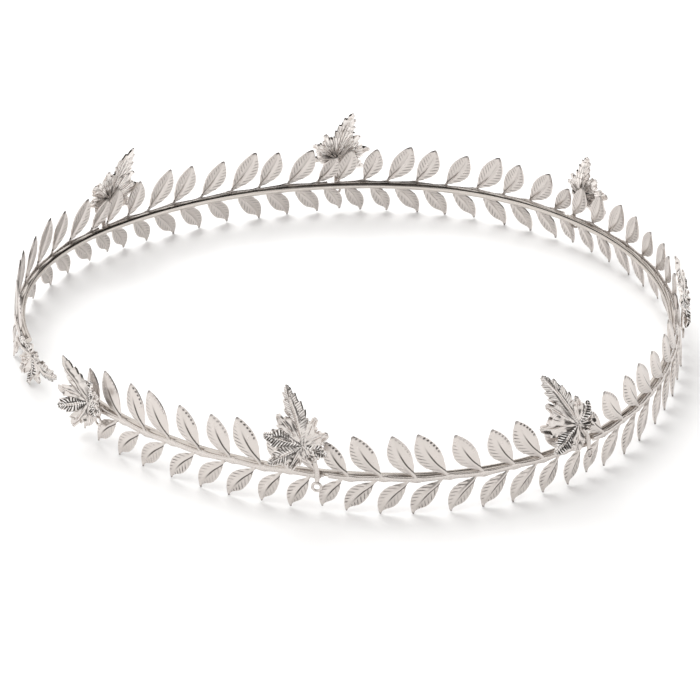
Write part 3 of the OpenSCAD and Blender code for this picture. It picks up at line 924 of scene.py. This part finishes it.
class CrownRelief(bpy.types.PropertyGroup):
    """Fineness and heights of the leaves' relief"""

    leaf_rows: IntProperty(
        name="Leaf rows", description="Rows of points along a laurel leaf", default=34, min=8, max=80
    )
    leaf_columns: IntProperty(
        name="Leaf columns", description="Columns of points across a laurel leaf", default=17, min=7, max=60
    )
    fold: FloatProperty(
        name="Fold height", description="Height of a laurel leaf's middle over its edges, in millimetres",
        default=0.3, min=0, max=1,
    )
    midrib: FloatProperty(
        name="Midrib height", description="Height of a laurel leaf's midrib, in millimetres",
        default=0.22, min=0, max=1,
    )
    vein_pitch: FloatProperty(
        name="Vein pitch", description="Distance between leaf veins, in millimetres",
        default=1.2, min=0.6, max=3,
    )
    vein_depth: FloatProperty(
        name="Vein depth", description="Depth of the leaf veins, in millimetres",
        default=0.05, min=0, max=0.3,
    )
    lobe_rows: IntProperty(
        name="Lobe rows", description="Rows of points along a side lobe of a vine leaf",
        default=34, min=8, max=80,
    )
    lobe_columns: IntProperty(
        name="Lobe columns", description="Columns of points across half a side lobe",
        default=9, min=4, max=40,
    )
    tooth: FloatProperty(
        name="Teeth", description="Depth of the teeth round a vine leaf, in millimetres",
        default=0.75, min=0, max=2,
    )
    vine_rib: FloatProperty(
        name="Vine rib", description="Height of a lobe's midrib, in millimetres",
        default=0.35, min=0, max=1,
    )
    vine_vein: FloatProperty(
        name="Vine veins", description="Height of a lobe's side veins, in millimetres",
        default=0.09, min=0, max=1,
    )
    vine_vein_pitch: FloatProperty(
        name="Vine vein pitch", description="Distance between a lobe's side veins, in millimetres",
        default=2.1, min=0.8, max=5,
    )
    vine_curl: FloatProperty(
        name="Vine curl", description="Curl of a side lobe's edges, in millimetres",
        default=0.8, min=0, max=3,
    )
    vine_fold: FloatProperty(
        name="Vine fold", description="Height of the middle lobe's ridge, in millimetres",
        default=0.7, min=0, max=3,
    )
    crumple: FloatProperty(
        name="Crumple", description="Unevenness of a vine leaf's lobes, in millimetres",
        default=0.3, min=0, max=1,
    )


class CrownStudio(bpy.types.PropertyGroup):
    """Camera, floor and light"""

    elevation: FloatProperty(
        name="Camera elevation", description="Angle of the camera over the floor",
        default=np.radians(28.0), subtype="ANGLE",
    )
    distance: FloatProperty(
        name="Camera distance", description="Distance of the camera from the crown",
        default=1.05, unit="LENGTH",
    )
    focal: FloatProperty(
        name="Focal length", description="Focal length over the photo's width",
        default=PHOTO_FOCAL / PHOTO_WIDTH, min=1, max=20,
    )
    floor: FloatVectorProperty(
        name="Floor", description="Colour of the floor",
        default=(0.885, 0.885, 0.885), subtype="COLOR", size=3,
    )
    sky: FloatProperty(
        name="Surround", description="Brightness of the pale surround", default=1.1, min=0, max=5
    )
    canopy: FloatProperty(
        name="Canopy", description="Power of the soft light overhead", default=11.5, subtype="POWER"
    )
    key: FloatProperty(
        name="Key light", description="Power of the light behind the crown", default=7.0, subtype="POWER"
    )


# Studio
def stage_sheet(name, span, up, material):
    """A flat rectangle of the studio between left, right, front and back, at a height"""
    left, right, front, back = span
    mesh = bpy.data.meshes.new(name)
    corners = [(left, front, up), (right, front, up), (right, back, up), (left, back, up)]
    mesh.from_pydata(corners, [], [[0, 1, 2, 3]])
    mesh.materials.append(material)
    sheet = bpy.data.objects.new(name, mesh)
    bpy.context.scene.collection.objects.link(sheet)
    return sheet


def toward(direction, way):
    """How far a direction points a given way"""
    x, y, z = parts(direction)
    return x * way[0] + y * way[1] + z * way[2]


def surround(brightness):
    """A pale dome with a dark zone overhead on the brow's side and another round the camera"""
    world = bpy.data.worlds.new("surround")
    bpy.context.scene.world = world
    sock = cleared(world)
    direction = sock.node("TexCoord", None, None, "Generated")
    begins, full = OVERHEAD_EDGE
    stops = [(0.0, PALE), (begins, PALE), (full, DARK), (1.0, DARK)]
    dome = sock.node("ValToRGB", {"stops": stops}, {0: toward(direction, OVERHEAD_WAY)})
    viewer = toward(direction, VIEWER_WAY).rise(*VIEWER_EDGE) * VIEWER_DEPTH
    light = sock.node("Background", None, {0: viewer.mix(dome, DARK), "Strength": brightness})
    sock.node("OutputWorld", None, {"Surface": light})


def soft_light(lamp):
    """A rectangular light that faces the crown and isn't mirrored in the metal"""
    light = bpy.data.lights.new(lamp.name, "AREA")
    light.shape = "RECTANGLE"
    light.energy, light.size, light.size_y = lamp.power, lamp.wide, lamp.deep
    holder = bpy.data.objects.new(lamp.name, light)
    holder.location = lamp.place
    holder.rotation_euler = (-Vector(lamp.place)).to_track_quat("-Z", "Y").to_euler()
    holder.visible_glossy = False
    bpy.context.scene.collection.objects.link(holder)


def photo_camera(studio):
    """The camera at the photo's angle, aimed a little in front of the hoop's middle"""
    camera = bpy.data.cameras.new("camera")
    camera.sensor_width = 36.0
    camera.lens = studio.focal * camera.sensor_width
    camera.clip_end = 50.0
    view = bpy.data.objects.new("camera", camera)
    look = Vector((0, AIM_Y, HOOP_H * MM))
    away = Vector((0, -np.cos(studio.elevation), np.sin(studio.elevation)))
    view.location = look + away * studio.distance
    view.rotation_euler = (-away).to_track_quat("-Z", "Y").to_euler()
    bpy.context.scene.collection.objects.link(view)
    bpy.context.scene.camera = view


class CROWN_OT_rod(bpy.types.Operator):
    """Build the smooth polished rod of the hoop"""

    bl_idname = "crown.rod"
    bl_label = "Polished rod"

    def execute(self, context):
        shape = Shape()
        s = np.append(np.arange(-VIEWER_LEN, FAR_LEN, ROD_STEP), FAR_LEN)
        s[1], s[-2] = s[0] + ROD_ROUND, s[-1] - ROD_ROUND
        wide = np.full(len(s), ROD_D)
        for k, share in enumerate(ROD_END_SHARES):
            wide[k] = wide[-1 - k] = share * ROD_D
        path = np.column_stack([-s, np.zeros_like(s), np.zeros_like(s)])
        bar(shape, 0.0, path, wide, wide, OUTSIDE, ROD_SIDES)
        shape.piece("rod", [rod_metal(context.scene.crown_finish)], ["hoop"])
        return {"FINISHED"}


class CROWN_OT_laurel(bpy.types.Operator):
    """Build the seven sprays of stamped laurel leaves"""

    bl_idname = "crown.laurel"
    bl_label = "Laurel sprays"

    def execute(self, context):
        finish, look = context.scene.crown_finish, context.scene.crown_relief
        materials = [leaf_metal(finish, look, True), leaf_metal(finish, look, False), stem_metal(finish)]
        for i in range(SPRAYS):
            laurel_spray(i, look, materials)
        return {"FINISHED"}


class CROWN_OT_vine(bpy.types.Operator):
    """Build the eight lobed vine leaves with their stalks and eyelets"""

    bl_idname = "crown.vine"
    bl_label = "Vine leaves"

    def execute(self, context):
        finish, look = context.scene.crown_finish, context.scene.crown_relief
        materials = [vine_metal(finish, True), vine_metal(finish, False), stem_metal(finish)]
        for i in range(SPRAYS + 1):
            vine_leaf(i, look, materials)
        return {"FINISHED"}


class CROWN_OT_studio(bpy.types.Operator):
    """Set up the pale floor, the soft light and the camera"""

    bl_idname = "crown.studio"
    bl_label = "Studio"

    def execute(self, context):
        studio = context.scene.crown_studio
        context.scene.view_settings.view_transform = "Standard"
        floor_span = (-FLOOR_REACH, FLOOR_REACH, -FLOOR_REACH, FLOOR_REACH)
        pale, dimmer = rgba(studio.floor), rgba(studio.floor, 0.997)
        stage_sheet("floor", floor_span, 0, matt("pale_floor", 30.0, pale, dimmer, 0.1))
        surround(studio.sky)
        # The key stands behind on the left and throws shadows towards the viewer and to the right
        soft_light(Lamp("canopy", studio.canopy, 1.6, 1.6, (0, 0.3, 1.2)))
        soft_light(Lamp("key", studio.key, 1.0, 0.6, (-0.35, 0.85, 0.85)))
        # A dark card over the far arm, seen only in the metal
        black, soot = (0.02, 0.018, 0.017, 1), (0.03, 0.027, 0.025, 1)
        card = stage_sheet("card", CARD_SPAN, CARD_UP, matt("dark_card", 60.0, black, soot, 0.0))
        for ray in ("camera", "diffuse", "shadow", "transmission", "volume_scatter"):
            setattr(card, f"visible_{ray}", False)
        photo_camera(studio)
        return {"FINISHED"}


class CROWN_PT_panel(bpy.types.Panel):
    """The crown's settings and the buttons that build it"""

    bl_label = "Laurel Wreath Crown"
    bl_idname = "CROWN_PT_panel"
    bl_space_type = "VIEW_3D"
    bl_region_type = "UI"
    bl_category = "Crown"

    def draw(self, context):
        layout = self.layout
        for group in GROUPS:
            box = layout.box()
            box.label(text=group.removeprefix("crown_").title())
            settings = getattr(context.scene, group)
            for name in settings.bl_rna.properties.keys():
                if name not in ("rna_type", "name"):
                    box.prop(settings, name)
        for operator in BUILD:
            layout.operator(operator.bl_idname)


BUILD = (CROWN_OT_studio, CROWN_OT_rod, CROWN_OT_laurel, CROWN_OT_vine)
GROUPS = {"crown_finish": CrownFinish, "crown_relief": CrownRelief, "crown_studio": CrownStudio}


def register():
    for item in (*GROUPS.values(), *BUILD, CROWN_PT_panel):
        bpy.utils.register_class(item)
    for name, group in GROUPS.items():
        setattr(bpy.types.Scene, name, PointerProperty(type=group))


def unregister():
    for name in GROUPS:
        delattr(bpy.types.Scene, name)
    for item in (CROWN_PT_panel, *reversed(BUILD), *reversed(list(GROUPS.values()))):
        bpy.utils.unregister_class(item)


def main():
    register()
    bpy.ops.crown.studio()
    bpy.ops.crown.rod()
    bpy.ops.crown.laurel()
    bpy.ops.crown.vine()


if __name__ == "__main__":
    main()
